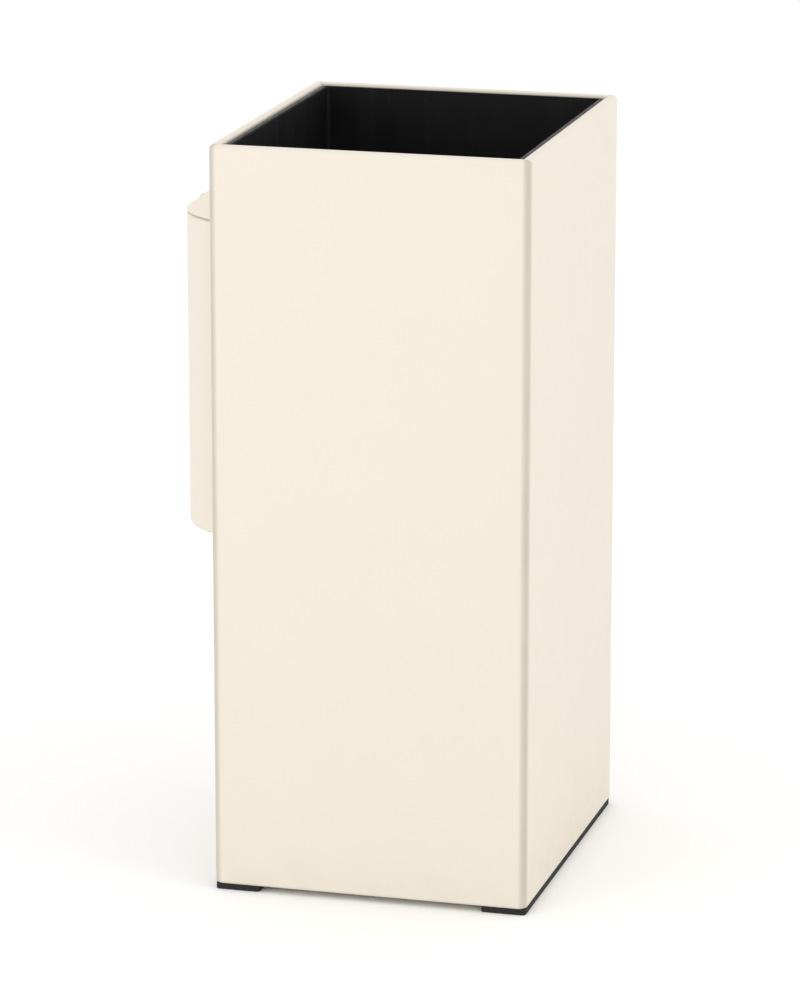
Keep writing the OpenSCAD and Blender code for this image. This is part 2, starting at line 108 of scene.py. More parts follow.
M5_RADIUS = 2.5 * MM
M5_HOLE = 2.7 * MM
M5_PITCH = 0.8 * MM
THREAD_DEPTH = 0.35 * MM
POINT = 0.5 * MM
COUNTERSUNK_HEAD = 5 * MM
BUTTON_HEAD = 4.5 * MM
NUT_ACROSS = 8 * MM
NUT_HEIGHT = 4 * MM
WASHER_RADIUS = 5 * MM
WASHER_T = 1 * MM
SOCKET_ACROSS = 3 * MM
RIVET_RADIUS = 1.6 * MM
RIVET_HEAD = 3 * MM
RIVET_DOME = 1 * MM
DRILL_PLAY = 0.05 * MM


# ---------- laying nodes ----------

class Nodes:
    """Lays nodes in one tree. An input may be a value or the output socket that feeds it."""

    def __init__(self, tree):
        self.tree = tree

    def add(self, kind, inputs=None, **settings):
        node = self.tree.nodes.new(kind)
        for name, value in settings.items():
            setattr(node, name, value)
        for key, value in (inputs or {}).items():
            if isinstance(value, bpy.types.NodeSocket):
                self.tree.links.new(value, node.inputs[key])
            else:
                node.inputs[key].default_value = value
        return node

    def math(self, operation, a, b=0.0, c=0.0):
        return self.add("ShaderNodeMath", {0: a, 1: b, 2: c}, operation=operation).outputs[0]

    def vector_math(self, operation, a, b=(0, 0, 0)):
        return self.add("ShaderNodeVectorMath", {0: a, 1: b}, operation=operation).outputs[0]


def modifier_tree(name, **sizes):
    """New modifier tree: a Geometry input, the named inputs, and a Finish for what comes out."""
    tree = bpy.data.node_groups.new(name, "GeometryNodeTree")
    tree.interface.new_socket("Geometry", in_out="INPUT", socket_type="NodeSocketGeometry")
    for label, kind in {**sizes, "Finish": "Material"}.items():
        label = label.replace("_", " ")
        tree.interface.new_socket(label, in_out="INPUT", socket_type="NodeSocket" + kind)
    tree.interface.new_socket("Geometry", in_out="OUTPUT", socket_type="NodeSocketGeometry")
    nodes = Nodes(tree)
    return nodes, nodes.add("NodeGroupInput").outputs


def end_tree(nodes, geometry, finish):
    realized = nodes.add("GeometryNodeRealizeInstances", {"Geometry": geometry}).outputs[0]
    painted = nodes.add("GeometryNodeSetMaterial", {"Geometry": realized, "Material": finish})
    nodes.add("NodeGroupOutput", {"Geometry": painted.outputs[0]})
    return nodes.tree


def settle(piece):
    """Turns what a piece's modifiers show into its own mesh."""
    graph = bpy.context.evaluated_depsgraph_get()
    mesh = bpy.data.meshes.new_from_object(
        piece.evaluated_get(graph), preserve_all_data_layers=True, depsgraph=graph)
    piece.modifiers.clear()
    piece.data = mesh
    return piece


def new_piece(name, mesh):
    piece = bpy.data.objects.new(name, mesh)
    bpy.context.scene.collection.objects.link(piece)
    return piece


def run_tree(piece, tree, **values):
    """Runs a tree on a piece and keeps the plain mesh that comes out."""
    modifier = piece.modifiers.new(tree.name, "NODES")
    modifier.node_group = tree
    for item in tree.interface.items_tree:
        label = item.name.replace(" ", "_")
        if item.in_out == "INPUT" and label in values:
            modifier[item.identifier] = values[label]
    return settle(piece)


# ---------- trees ----------

def grid_under_outline(nodes, outline, columns):
    """Grid with a row for each outline point and one to close it, the column and row of each
    grid point, and the outline's place there (x inset, y back, z height)."""
    count = nodes.add("GeometryNodeAttributeDomainSize", {"Geometry": outline}).outputs[0]
    rows = nodes.math("ADD", count, 1)
    grid = nodes.add("GeometryNodeMeshGrid", {"Vertices X": columns, "Vertices Y": rows}).outputs[0]
    index = nodes.add("GeometryNodeInputIndex").outputs[0]
    column = nodes.math("FLOOR", nodes.math("DIVIDE", nodes.math("ADD", index, 0.5), rows))
    row = nodes.math("SUBTRACT", index, nodes.math("MULTIPLY", column, rows))
    place = nodes.add("GeometryNodeInputPosition").outputs[0]
    sample = nodes.add("GeometryNodeSampleIndex", {
        "Geometry": outline, "Value": place, "Index": nodes.math("FLOORED_MODULO", row, count)},
        data_type="FLOAT_VECTOR", domain="POINT")
    split = nodes.add("ShaderNodeSeparateXYZ", {0: sample.outputs[0]}).outputs
    return grid, column, split


def end_sweep(nodes, grid, place, finish):
    """Moves the grid to its places and merges it where it meets itself."""
    moved = nodes.add("GeometryNodeSetPosition", {"Geometry": grid, "Position": place}).outputs[0]
    closed = nodes.add("GeometryNodeMergeByDistance", {"Geometry": moved, "Distance": 1e-6})
    return end_tree(nodes, closed.outputs[0], finish)


def folded_frame_tree():
    """Sweeps a closed outline round an upright rounded rectangle, as a folded sheet runs round a
    box. The outline's x is its inset from the outer face and its z is its height."""
    nodes, size = modifier_tree("folded frame", Width="Float", Depth="Float", Corner_radius="Float",
                                Mitre_radius="Float", Corner_steps="Int")
    per_corner = nodes.math("ADD", size["Corner steps"], 1)
    round_count = nodes.math("MULTIPLY", per_corner, 4)
    grid, column, outline = grid_under_outline(
        nodes, size["Geometry"], nodes.math("ADD", round_count, 1))
    column = nodes.math("FLOORED_MODULO", column, round_count)
    corner = nodes.math("FLOOR", nodes.math("DIVIDE", nodes.math("ADD", column, 0.5), per_corner))
    step = nodes.math("SUBTRACT", column, nodes.math("MULTIPLY", corner, per_corner))
    share = nodes.math("DIVIDE", step, size["Corner steps"])
    turn = nodes.math("MULTIPLY", nodes.math("ADD", corner, share), math.pi / 2)
    diagonal = nodes.math("MULTIPLY", nodes.math("ADD", corner, 0.5), math.pi / 2)
    inset = outline["X"]
    radius = nodes.math("MAXIMUM", nodes.math("SUBTRACT", size["Corner radius"], inset),
                        size["Mitre radius"])
    across = []
    for length, wave in ((size["Width"], "COSINE"), (size["Depth"], "SINE")):
        side = nodes.math("SIGN", nodes.math(wave, diagonal))
        half = nodes.math("SUBTRACT", nodes.math("MULTIPLY", length, 0.5), inset)
        straight = nodes.math("MULTIPLY", side, nodes.math("SUBTRACT", half, radius))
        bend = nodes.math("MULTIPLY", nodes.math(wave, turn), radius)
        across.append(nodes.math("ADD", straight, bend))
    place = nodes.add("ShaderNodeCombineXYZ", {
        0: across[0], 1: across[1], 2: outline["Z"]}).outputs[0]
    # fold peaks in the middle of each corner bend; the cream coat paints shade along it.
    fold = nodes.math("SINE", nodes.math("MULTIPLY", share, math.pi))
    marked = nodes.add("GeometryNodeStoreNamedAttribute", {
        "Geometry": grid, "Name": "fold", "Value": fold}, data_type="FLOAT", domain="POINT")
    return end_sweep(nodes, marked.outputs[0], place, size["Finish"])


def half_round_tree():
    """Sweeps a closed outline round a half circle that opens towards a wall at x = 0. The
    outline's x is its inset, its y is how far from the wall it stops, and z is its height."""
    nodes, size = modifier_tree("half round", Radius="Float", Steps="Int", Closed="Int")
    stations = nodes.math("ADD", size["Steps"], 1)
    grid, column, outline = grid_under_outline(
        nodes, size["Geometry"], nodes.math("ADD", stations, size["Closed"]))
    column = nodes.math("FLOORED_MODULO", column, stations)
    radius = nodes.math("SUBTRACT", size["Radius"], outline["X"])
    start = nodes.math("ARCCOSINE", nodes.math("DIVIDE", outline["Y"], radius))
    sweep = nodes.math("SUBTRACT", 2 * math.pi, nodes.math("MULTIPLY", start, 2))
    share = nodes.math("DIVIDE", column, size["Steps"])
    turn = nodes.math("ADD", start, nodes.math("MULTIPLY", share, sweep))
    place = nodes.add("ShaderNodeCombineXYZ", {
        0: nodes.math("MULTIPLY", nodes.math("COSINE", turn), radius),
        1: nodes.math("MULTIPLY", nodes.math("SINE", turn), radius),
        2: outline["Z"]}).outputs[0]
    return end_sweep(nodes, grid, place, size["Finish"])


def bent_wire_tree():
    """Round wire along a line of corner points, with a bend at each corner."""
    nodes, size = modifier_tree("bent wire", Wire_radius="Float", Bend_radius="Float",
                                Bend_steps="Int", Sides="Int")
    line = nodes.add("GeometryNodeMeshToCurve", {"Mesh": size["Geometry"]}).outputs[0]
    bent = nodes.add("GeometryNodeFilletCurve", {
        "Curve": line, "Radius": size["Bend radius"], "Count": size["Bend steps"],
        "Limit Radius": True}, mode="POLY").outputs[0]
    ring = nodes.add("GeometryNodeCurvePrimitiveCircle", {
        "Resolution": size["Sides"], "Radius": size["Wire radius"]}).outputs[0]
    wire = nodes.add("GeometryNodeCurveToMesh", {
        "Curve": bent, "Profile Curve": ring, "Fill Caps": True}).outputs[0]
    return end_tree(nodes, wire, size["Finish"])


def turned_to_face(nodes, points, item, spin, seed):
    """Instances of an item on marked points: its +Z faces the mark's way, with a random turn."""
    facing = nodes.add("GeometryNodeInputNamedAttribute", {"Name": "facing"},
                       data_type="FLOAT_VECTOR").outputs[0]
    aligned = nodes.add("FunctionNodeAlignRotationToVector", {"Vector": facing},
                        axis="Z").outputs[0]
    turn = nodes.add("FunctionNodeRandomValue", {"Min": 0.0, "Max": spin, "Seed": seed},
                     data_type="FLOAT")
    turn_value = next(s for s in turn.outputs if s.enabled)
    about_z = nodes.add("FunctionNodeAxisAngleToRotation", {
        "Axis": (0, 0, 1), "Angle": turn_value}).outputs[0]
    both = nodes.add("FunctionNodeRotateRotation", {
        "Rotation": aligned, "Rotate By": about_z}, rotation_space="LOCAL").outputs[0]
    return nodes.add("GeometryNodeInstanceOnPoints", {
        "Points": points, "Instance": item, "Rotation": both}).outputs[0]


def fasteners_tree():
    """Puts one fastener on each marked point."""
    nodes, size = modifier_tree("fasteners", Fastener="Object", Spin="Float", Seed="Int")
    item = nodes.add("GeometryNodeObjectInfo", {"Object": size["Fastener"]}).outputs["Geometry"]
    placed = turned_to_face(nodes, size["Geometry"], item, size["Spin"], size["Seed"])
    return end_tree(nodes, placed, size["Finish"])


def drilled_tree():
    """Drills a round hole through a sheet at each point of a mark object."""
    nodes, size = modifier_tree("drilled sheet", Marks="Object", Hole_radius="Float",
                                Reach="Float", Sides="Int")
    points = nodes.add("GeometryNodeObjectInfo", {"Object": size["Marks"]}).outputs["Geometry"]
    drill = nodes.add("GeometryNodeMeshCylinder", {
        "Vertices": size["Sides"], "Radius": size["Hole radius"],
        "Depth": size["Reach"]}).outputs[0]
    drills = turned_to_face(nodes, points, drill, 0.0, 0)
    cut = nodes.add("GeometryNodeMeshBoolean", {"Mesh 1": size["Geometry"]}, operation="DIFFERENCE")
    cut.solver = "EXACT"
    realized = nodes.add("GeometryNodeRealizeInstances", {"Geometry": drills}).outputs[0]
    nodes.tree.links.new(realized, cut.inputs["Mesh 2"])
    return end_tree(nodes, cut.outputs[0], size["Finish"])


FOLDED_FRAME = folded_frame_tree()
HALF_ROUND = half_round_tree()
BENT_WIRE = bent_wire_tree()
FASTENERS = fasteners_tree()
DRILLED = drilled_tree()


# ---------- outlines ----------

def arc_between(before, corner, after, radius, steps):
    """Points of the round that replaces a corner of a line."""
    to_before = (before - corner).normalized()
    to_after = (after - corner).normalized()
    half = to_before.angle(to_after) / 2
    centre = corner + (to_before + to_after).normalized() * (radius / math.sin(half))
    start = corner + to_before * (radius / math.tan(half)) - centre
    sweep = start.angle_signed(corner + to_after * (radius / math.tan(half)) - centre)
    return [centre + Matrix.Rotation(-sweep * i / steps, 2) @ start for i in range(steps + 1)]


def rounded(points, radii, closed=True, steps=BEND_STEPS):
    """Line whose corners are rounded. radii is one radius, or one for each inner corner."""
    points = [Vector(p) for p in points]
    corners = range(len(points)) if closed else range(1, len(points) - 1)
    if not isinstance(radii, (list, tuple)):
        radii = [radii] * len(corners)
    line = [] if closed else [points[0]]
    for i, radius in zip(corners, radii):
        after = points[(i + 1) % len(points)]
        line += arc_between(points[i - 1], points[i], after, radius, steps)
    return line if closed else line + [points[-1]]


def folded_sheet(middle, sheet, bends):
    """Closed outline of a sheet that follows a middle line, with its cut edges eased."""
    line = rounded(middle, bends, closed=False)
    sides = [[], []]
    for i, point in enumerate(line):
        run = line[min(i + 1, len(line) - 1)] - line[max(i - 1, 0)]
        across = Vector((-run.y, run.x)).normalized() * (sheet / 2)
        sides[0].append(point + across)
        sides[1].append(point - across)
    ease = min(CUT_EDGE, sheet / 3)
    left, right = sides
    ends = []
    for a, b, inner_a, inner_b in ((left[-1], right[-1], left[-2], right[-2]),
                                   (right[0], left[0], right[1], left[1])):
        ends.append([a + (inner_a - a).normalized() * ease, a + (b - a).normalized() * ease,
                     b + (a - b).normalized() * ease, b + (inner_b - b).normalized() * ease])
    return left[1:-1] + ends[0] + right[-2:0:-1] + ends[1]


def outline_mesh(points):
    """Loose points that a sweep tree reads in order."""
    mesh = bpy.data.meshes.new("outline")
    mesh.from_pydata([tuple(p) for p in points], [], [])
    return mesh


# ---------- solids by mesh code ----------

@contextmanager
def worked(mesh):
    """Opens a mesh for editing, and writes it back at the end."""
    work = bmesh.new()
    work.from_mesh(mesh)
    yield work
    work.to_mesh(mesh)
    work.free()


def clean(mesh):
    """Merges doubles and turns every face outwards."""
    with worked(mesh) as work:
        bmesh.ops.remove_doubles(work, verts=work.verts, dist=1e-6)
        bmesh.ops.recalc_face_normals(work, faces=work.faces)
    return mesh


def close_ends(mesh):
    """Closes the open ends of a swept sheet."""
    with worked(mesh) as work:
        open_edges = [edge for edge in work.edges if edge.is_boundary]
        bmesh.ops.holes_fill(work, edges=open_edges, sides=0)
    return clean(mesh)


def prism(outline, low, high):
    """Upright prism on a flat outline."""
    count = len(outline)
    points = [(p[0], p[1], z) for z in (low, high) for p in outline]
    sides = [(i, (i + 1) % count, count + (i + 1) % count, count + i) for i in range(count)]
    mesh = bpy.data.meshes.new("prism")
    mesh.from_pydata(points, [], sides + [tuple(range(count)), tuple(range(count, 2 * count))])
    return clean(mesh)


def turned(outline, steps=32):
    """Solid of revolution about Z from (radius, height) points. Its ends lie on the axis, or the
    outline closes round a bore."""
    rings, points = [], []
    for radius, height in outline:
        if radius == 0:
            rings.append([len(points)] * steps)
            points.append((0, 0, height))
        else:
            rings.append(list(range(len(points), len(points) + steps)))
            angles = [2 * math.pi * i / steps for i in range(steps)]
            points += [(radius * math.cos(a), radius * math.sin(a), height) for a in angles]
    if outline[0][0] and outline[-1][0]:
        rings.append(rings[0])
    faces = []
    for low, high in zip(rings, rings[1:]):
        for i in range(steps):
            j = (i + 1) % steps
            face = list(dict.fromkeys((low[i], low[j], high[j], high[i])))
            if len(face) > 2:
                faces.append(face)
    mesh = bpy.data.meshes.new("turned")
    mesh.from_pydata(points, [], faces)
    return clean(mesh)


def regular(sides, across_flats):
    """Outline of a regular polygon with an even number of sides."""
    radius = across_flats / 2 / math.cos(math.pi / sides)
    return [(radius * math.cos(2 * math.pi * i / sides), radius * math.sin(2 * math.pi * i / sides))
            for i in range(sides)]


def combine(piece, tool_mesh, operation):
    """Cuts a piece with another solid, or keeps or adds what they share."""
    tool = new_piece("tool", tool_mesh)
    boolean = piece.modifiers.new("combine", "BOOLEAN")
    boolean.operation = operation
    boolean.solver = "EXACT"
    boolean.object = tool
    settle(piece)
    bpy.data.objects.remove(tool)
    return piece


def marks(places):
    """Object whose points are (place, facing) marks for holes or fasteners."""
    mesh = bpy.data.meshes.new("marks")
    mesh.from_pydata([place for place, _ in places], [], [])
    facing = mesh.attributes.new("facing", "FLOAT_VECTOR", "POINT")
    for mark, (_, way) in zip(facing.data, places):
        mark.vector = way
    return new_piece("marks", mesh)


def drill(piece, places, radius, reach=6 * MM, sides=32):
    points = marks(places)
    run_tree(piece, DRILLED, Marks=points, Hole_radius=radius, Reach=reach, Sides=sides)
    bpy.data.objects.remove(points)
    return piece


def ease_edges(piece, width, angle=40):
    bevel = piece.modifiers.new("eased edges", "BEVEL")
    bevel.width = width
    bevel.segments = 2
    bevel.limit_method = "ANGLE"
    bevel.angle_limit = math.radians(angle)
    bevel.use_clamp_overlap = True
    return settle(piece)


def copy_of_node(node):
    """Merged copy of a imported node, with its flat faces whole again."""
    mesh = frame["nodes"][node].data.copy()
    with worked(mesh) as work:
        bmesh.ops.remove_doubles(work, verts=work.verts, dist=2e-6)
        bmesh.ops.dissolve_limit(work, angle_limit=math.radians(0.5), verts=work.verts,
                                 edges=work.edges)
    return mesh


# ---------- finishing a piece ----------

def stand_in(piece, node, finish=None, sharp=35):
    """The piece is shown for a node: it takes the node's body, slot and finish."""
    mesh = piece.data
    mesh.materials.clear()
    mesh.materials.append(finish or FINISHES[SLOT_OF[node]])
    for polygon in mesh.polygons:
        polygon.material_index = 0
    mesh.shade_smooth()
    mesh.set_sharp_from_angle(angle=math.radians(sharp))
    weighted = piece.modifiers.new("flat faces stay flat", "WEIGHTED_NORMAL")
    weighted.keep_sharp = True
    settle(piece)
    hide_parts(node)
    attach(piece, BODY_OF[node])
    return piece


def eased_node(name, node, width=CUT_EDGE):
    """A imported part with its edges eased, as cut, pressed or moulded parts have them."""
    return stand_in(ease_edges(new_piece(name, copy_of_node(node)), width), node)


def swept_frame(name, outline, box, corner):
    """Sheet swept round a rounded rectangle that fills a box's footprint."""
    lo, hi = box
    piece = new_piece(name, outline_mesh([(p[0], 0, p[1]) for p in outline]))
    run_tree(piece, FOLDED_FRAME, Width=hi.x - lo.x, Depth=hi.y - lo.y, Corner_radius=corner,
             Mitre_radius=MITRE_RADIUS, Corner_steps=BEND_STEPS)
    piece.data.transform(Matrix.Translation(((lo.x + hi.x) / 2, (lo.y + hi.y) / 2, 0)))
    clean(piece.data)
    return piece


def swept_half_round(name, outline, radius, back, closed=False):
    """Sheet swept round a half circle on the wall. back gives where a point of the outline stops
    before the wall, from its inset."""
    piece = new_piece(name, outline_mesh([(p[0], back(p[0]), p[1]) for p in outline]))
    run_tree(piece, HALF_ROUND, Radius=radius, Steps=HALF_ROUND_STEPS, Closed=int(closed))
    piece.data.transform(Matrix.Translation((WALL_X, 0, 0)))
    if closed:
        clean(piece.data)
    else:
        close_ends(piece.data)
    return piece


def fastened(name, node, item_mesh, places, spin=0.0, seed=1):
    """A node's fasteners: one item on each mark."""
    item = new_piece("item", item_mesh)
    piece = marks(places)
    piece.name = name
    run_tree(piece, FASTENERS, Fastener=item, Spin=spin, Seed=seed)
    bpy.data.objects.remove(item)
    return stand_in(piece, node)


# ---------- finishes ----------

class Finish(Nodes):
    """A node material under one Principled shader, patterned on object coordinates."""

    def __init__(self, name, **constants):
        self.material = bpy.data.materials.new(name)
        self.material.use_nodes = True
        super().__init__(self.material.node_tree)
        self.shader = self.tree.nodes["Principled BSDF"]
        for socket, value in constants.items():
            self.shader.inputs[socket.replace("_", " ")].default_value = value
        self.place = self.add("ShaderNodeTexCoord").outputs["Object"]
        self.normal = None

    def mapped(self, scale=(1, 1, 1), turn=(0, 0, 0), centre=(0, 0, 0)):
        """Object coordinates, centred, turned and then stretched."""
        moved = self.vector_math("SUBTRACT", self.place, centre)
        turned_place = self.add("ShaderNodeMapping", {0: moved, "Rotation": turn}).outputs[0]
        return self.vector_math("MULTIPLY", turned_place, scale)

    def noise(self, scale, detail=2.0, roughness=0.5, place=None, distortion=0.0):
        return self.add("ShaderNodeTexNoise", {
            "Vector": place or self.place, "Scale": scale, "Detail": detail,
            "Roughness": roughness, "Distortion": distortion}).outputs[0]

    def cells(self, scale, output, place=None):
        return self.add("ShaderNodeTexVoronoi", {
            "Vector": place or self.place, "Scale": scale}).outputs[output]

    def spread(self, value, low, high, to_low=0.0, to_high=1.0):
        """Maps low..high to to_low..to_high, and stops there."""
        return self.add("ShaderNodeMapRange", {
            0: value, 1: low, 2: high, 3: to_low, 4: to_high}).outputs[0]

    def blend(self, amount, a, b, share=None):
        """Colour a, with b over it by an amount, or by a share of that amount."""
        if share is not None:
            amount = self.math("MULTIPLY", amount, share)
        mix = self.add("ShaderNodeMix", data_type="RGBA")
        named = {"Factor": amount, "A": a, "B": b}
        for socket in mix.inputs:
            if socket.enabled and socket.name in named:
                value = named[socket.name]
                if isinstance(value, bpy.types.NodeSocket):
                    self.tree.links.new(value, socket)
                else:
                    socket.default_value = value if socket.name == "Factor" else (*value, 1)
        return next(s for s in mix.outputs if s.enabled)

    def bump(self, height, distance, strength=1.0):
        """Adds relief to what is there already; distance is how high a full step stands."""
        inputs = {"Height": height, "Distance": distance, "Strength": strength}
        if self.normal:
            inputs["Normal"] = self.normal
        self.normal = self.add("ShaderNodeBump", inputs).outputs[0]

    def lowness(self, low, high):
        """1 up to a low height of the object, 0 from a high one."""
        z = self.add("ShaderNodeSeparateXYZ", {0: self.place}).outputs["Z"]
        return self.math("SUBTRACT", 1.0, self.spread(z, low, high))

    def done(self, colour=None, roughness=None, metallic=None):
        wired = {"Base Color": colour, "Roughness": roughness, "Metallic": metallic,
                 "Normal": self.normal}
        for name, value in wired.items():
            if isinstance(value, bpy.types.NodeSocket):
                self.tree.links.new(value, self.shader.inputs[name])
            elif value is not None:
                self.shader.inputs[name].default_value = (
                    (*value, 1) if name == "Base Color" else value)
        return self.material


def cream_powder_coat():
    """Satin polyester coat: orange peel, faint mottling, painted shade along the vertical corner
    bends, dusty at the foot.
    """
    f = Finish("cream powder coat", IOR=1.5)
    # The third colour is painted shade for the vertical corner bends.
    cream, warm, painted_fold_shade, dust = ((0.717, 0.66, 0.57), (0.7, 0.635, 0.54), (0.49, 0.44, 0.37),
                               (0.45, 0.4, 0.33))
    mottle = f.spread(f.noise(14, 3, 0.55), 0.35, 0.75)
    colour = f.blend(mottle, cream, warm, 0.22)
    # Painted shade: the colour darkens where the fold attribute peaks along the corner bends, and
    # the noise makes it uneven.
    fold = f.spread(f.add("ShaderNodeAttribute", attribute_name="fold").outputs["Fac"], 0.1, 1.0)
    uneven = f.spread(f.noise(30, 2), 0.2, 0.8, 0.8, 1.0)
    colour = f.blend(f.math("MULTIPLY", fold, uneven), colour, painted_fold_shade)
    foot = f.lowness(0.004, 0.05)
    splash = f.math("MULTIPLY", foot, f.spread(f.noise(55, 6, 0.65), 0.42, 0.75))
    colour = f.blend(splash, colour, dust, 0.14)
    fleck = f.spread(f.noise(420, 2, 0.6), 0.68, 0.78)
    colour = f.blend(fleck, colour, dust, 0.08)
    roughness = f.spread(f.noise(40, 4, 0.6), 0.3, 0.7, 0.4, 0.5)
    f.bump(f.noise(620, 2, 0.5), 0.05 * MM, 0.5)
    f.bump(f.noise(150, 2, 0.5), 0.06 * MM, 0.35)
    return f.done(colour, f.math("ADD", roughness, f.math("MULTIPLY", splash, 0.25)))


def black_powder_coat():
    """Matt coat with a fine texture and dust that has settled on it."""
    f = Finish("black powder coat", IOR=1.5)
    grain = f.noise(900, 3, 0.6)
    dust = f.spread(f.noise(24, 6, 0.65), 0.45, 0.8)
    colour = f.blend(dust, (0.014, 0.014, 0.015), (0.11, 0.1, 0.085), 0.35)
    roughness = f.spread(dust, 0, 1, 0.55, 0.8)
    f.bump(grain, 0.05 * MM, 0.6)
    return f.done(colour, roughness)


def liner_black():
    """Semi-matt black inside and out: run marks down the walls, scratches and settled dust."""
    f = Finish("liner black coat", IOR=1.4, Specular_IOR_Level=0.25)
    runs = f.spread(f.noise(1, 5, 0.6, f.mapped((70, 70, 2.5))), 0.5, 0.78)
    scratches = f.spread(f.noise(1, 2, 0.5, f.mapped((900, 900, 14), (0.12, 0.08, 0.0))), 0.7, 0.73)
    patches = f.spread(f.noise(9, 4, 0.6), 0.45, 0.7)
    colour = f.blend(runs, (0.007, 0.007, 0.0073), (0.045, 0.042, 0.038), 0.12)
    worn = f.math("MULTIPLY", f.math("MULTIPLY", scratches, patches), 0.22)
    colour = f.blend(worn, colour, (0.12, 0.12, 0.12))
    low = f.lowness(0.02, 0.14)
    settled = f.math("MULTIPLY", low, f.spread(f.noise(38, 6, 0.7), 0.4, 0.8))
    colour = f.blend(settled, colour, (0.1, 0.09, 0.075), 0.4)
    roughness = f.spread(f.noise(60, 3), 0.3, 0.7, 0.42, 0.54)
    f.bump(f.noise(800, 2, 0.55), 0.04 * MM, 0.5)
    f.bump(scratches, -0.03 * MM, 0.4)
    return f.done(colour, f.math("ADD", roughness, f.math("MULTIPLY", settled, 0.25)))


def moulded_rubber():
    """Matt black rubber with a moulded grain and scuffs."""
    f = Finish("moulded rubber", IOR=1.45, Specular_IOR_Level=0.35)
    scuff = f.spread(f.noise(1, 4, 0.6, f.mapped((220, 60, 220))), 0.55, 0.75)
    colour = f.blend(scuff, (0.018, 0.018, 0.018), (0.075, 0.07, 0.065), 0.35)
    roughness = f.spread(f.noise(300, 3), 0.3, 0.7, 0.7, 0.88)
    f.bump(f.cells(1400, "Distance"), 0.05 * MM, 0.5)
    return f.done(colour, roughness)


def sponge_rubber():
    """Grey-brown cellular rubber strip with open pores."""
    f = Finish("sponge rubber", IOR=1.45, Specular_IOR_Level=0.2)
    pores = f.spread(f.cells(1100, "Distance"), 0.1, 0.45)
    colour = f.blend(pores, (0.24, 0.21, 0.17), (0.55, 0.49, 0.41))
    f.bump(pores, 0.15 * MM, 0.8)
    return f.done(colour, 0.9)


def zinc_plate():
    """Bright zinc with a passivated tint and fine wear."""
    f = Finish("zinc plate", IOR=1.5)
    tint = f.spread(f.noise(160, 3, 0.6), 0.3, 0.7)
    colour = f.blend(tint, (0.56, 0.58, 0.63), (0.66, 0.64, 0.57))
    dull = f.spread(f.noise(420, 4, 0.65), 0.35, 0.75)
    colour = f.blend(dull, colour, (0.36, 0.36, 0.37), 0.35)
    f.bump(f.noise(1500, 2), 0.02 * MM, 0.4)
    return f.done(colour, f.spread(dull, 0, 1, 0.26, 0.45), 1.0)


def zinc_wire():
    """Zinc on drawn wire: light draw marks and dull patches."""
    f = Finish("zinc wire", IOR=1.5)
    draw = f.noise(1, 3, 0.6, f.mapped((1400, 120, 120)))
    dull = f.spread(f.noise(130, 4, 0.65), 0.35, 0.75)
    colour = f.blend(dull, (0.64, 0.65, 0.67), (0.4, 0.4, 0.41), 0.5)
    f.bump(draw, 0.02 * MM, 0.5)
    return f.done(colour, f.spread(dull, 0, 1, 0.28, 0.46), 1.0)


def brushed_steel(name="brushed stainless", stained=False):
    """Stainless sheet brushed along the front-to-back way. Ash stains gather round the holes."""
    f = Finish(name, IOR=1.5, Anisotropic=0.5)
    brush = f.noise(1, 3, 0.65, f.mapped((1300, 18, 1300)))
    smear = f.spread(f.noise(70, 4, 0.6), 0.35, 0.8)
    colour = f.blend(smear, (0.66, 0.665, 0.67), (0.5, 0.5, 0.5), 0.3)
    roughness = f.spread(brush, 0.3, 0.7, 0.24, 0.4)
    metallic = 1.0
    if stained:
        offset = f.vector_math("SUBTRACT", f.place, STAIN_CENTRE)
        across = f.vector_math("MULTIPLY", offset, (1, 0.45, 1))
        reach = f.add("ShaderNodeVectorMath", {0: across}, operation="LENGTH").outputs["Value"]
        near = f.spread(reach, 2 * MM, 19 * MM, 1.0, 0.0)
        soot = f.spread(f.math("ADD", near, f.noise(160, 6, 0.7)), 0.85, 1.35)
        colour = f.blend(soot, colour, (0.045, 0.038, 0.032), 0.8)
        roughness = f.math("ADD", roughness, f.math("MULTIPLY", soot, 0.35))
        metallic = f.math("SUBTRACT", 1.0, f.math("MULTIPLY", soot, 0.6))
    f.bump(brush, 0.015 * MM, 0.5)
    return f.done(colour, roughness, metallic)


def galvanised_sheet():
    """Hot-dipped zinc with a spangle of crystals, and ash low in the bucket."""
    f = Finish("galvanised sheet", IOR=1.5)
    wander = f.add("ShaderNodeTexNoise", {"Vector": f.place, "Scale": 220.0}).outputs["Color"]
    drift = f.vector_math("ADD", f.place, f.vector_math("MULTIPLY", wander, (0.004,) * 3))
    spangle = f.add("ShaderNodeSeparateColor", {0: f.cells(150, "Color", drift)}).outputs[0]
    colour = f.blend(spangle, (0.46, 0.475, 0.49), (0.66, 0.67, 0.68))
    low = f.lowness(BUCKET_LO.z, BUCKET_LO.z + 0.05)
    ash = f.math("MULTIPLY", low, f.spread(f.noise(90, 6, 0.7), 0.35, 0.7))
    colour = f.blend(ash, colour, (0.24, 0.23, 0.22), 0.7)
    roughness = f.math("ADD", f.spread(spangle, 0, 1, 0.3, 0.5), f.math("MULTIPLY", ash, 0.3))
    f.bump(f.noise(500, 2), 0.02 * MM, 0.4)
    return f.done(colour, roughness, f.math("SUBTRACT", 1.0, f.math("MULTIPLY", ash, 0.7)))


# ---------- slope of the lid ----------

